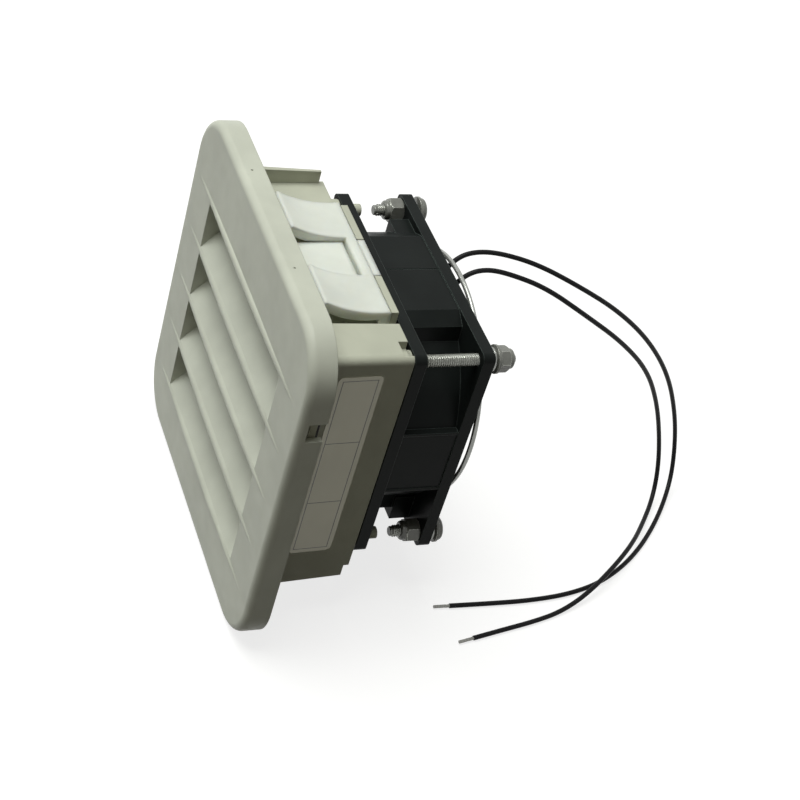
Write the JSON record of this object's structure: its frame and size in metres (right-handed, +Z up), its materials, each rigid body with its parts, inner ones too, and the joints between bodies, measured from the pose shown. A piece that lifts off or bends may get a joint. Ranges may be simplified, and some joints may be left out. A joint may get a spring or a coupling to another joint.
{
  "type": "filter fan",
  "caption": "Square louvred filter fan that snaps into a panel cut-out, with an axial fan behind a filter mat, a wire finger guard and loose supply leads.",
  "frame": {"origin": "centre of the square panel cut-out, in the plane of the panel's front face that the gasket seals against", "axes": "+X to the right seen from the front, +Y into the cabinet along the fan's axis, +Z up"},
  "size_m": [0.1242, 0.1808, 0.12],
  "materials": {
    "cover_plastic": "satin moulded plastic, light warm grey",
    "frame_plastic": "satin moulded plastic, light beige grey",
    "latch_nylon": "natural white nylon",
    "gasket_foam": "closed-cell foam, dark grey",
    "filter_fleece": "white non-woven fleece",
    "sticker_foil": "bare silver-white foil",
    "fan_plastic": "black glass-filled plastic, satin",
    "motor_steel": "turned steel",
    "motor_brass": "turned brass",
    "stator_iron": "stamped iron sheets",
    "coil_copper": "varnished copper wire",
    "guard_wire": "bright plated wire",
    "zinc_steel": "bright zinc-plated steel",
    "lead_rubber": "black rubber",
    "lead_insulation": "black flexible insulation",
    "tinned_core": "tinned copper strand"
  },
  "bodies": {
    "housing": {"base_frame": "frame_plastic", "panel_gasket": "gasket_foam", "filter_mat": "filter_fleece", "rating_sticker": "sticker_foil", "latch_base_top": "latch_nylon", "latch_base_bottom": "latch_nylon", "fan_frame": "fan_plastic", "bearing_tube": "motor_brass", "front_bearing": "motor_steel", "rear_bearing": "motor_steel", "preload_washer": "motor_steel", "stator_core": "stator_iron", "stator_coils": "coil_copper", "finger_guard": "guard_wire", "guard_ring_1": "guard_wire", "guard_ring_2": "guard_wire", "guard_ring_3": "guard_wire", "guard_ring_4": "guard_wire", "fan_bolts": "zinc_steel", "fan_bolt_nuts": "zinc_steel", "fan_bolt_washers": "zinc_steel", "guard_screws": "zinc_steel", "guard_screw_nuts": "zinc_steel", "guard_screw_washers": "zinc_steel", "lead_grommet": "lead_rubber", "lead_a": "lead_insulation", "lead_b": "lead_insulation", "lead_a_end": "tinned_core", "lead_b_end": "tinned_core"},
    "cover": {"cover_grille": "cover_plastic"},
    "rotating": {"impeller": "fan_plastic", "rotor": "motor_steel", "motor_shaft": "motor_steel", "retaining_ring": "motor_steel"},
    "top_latch": {"latch_tongues_top": "latch_nylon"},
    "bottom_latch": {"latch_tongues_bottom": "latch_nylon"}
  },
  "joints": [
    {"name": "impeller_spin", "type": "hinge", "parent": "housing", "child": "rotating", "pos_m": [0, 0.046, 0], "axis": [0, 1, 0], "continuous": true},
    {"name": "cover_release", "type": "slide", "parent": "housing", "child": "cover", "axis": [0, -1, 0], "range_m": [0, 0.03]},
    {"name": "top_latch_press", "type": "hinge", "parent": "housing", "child": "top_latch", "pos_m": [0, 0.026, 0.0422], "axis": [1, 0, 0], "range_deg": [0, 13], "stiffness_Nm_per_rad": 0.9},
    {"name": "bottom_latch_press", "type": "hinge", "parent": "housing", "child": "bottom_latch", "pos_m": [0, 0.026, -0.0422], "axis": [-1, 0, 0], "range_deg": [0, 13], "stiffness_Nm_per_rad": 0.9}
  ]
}
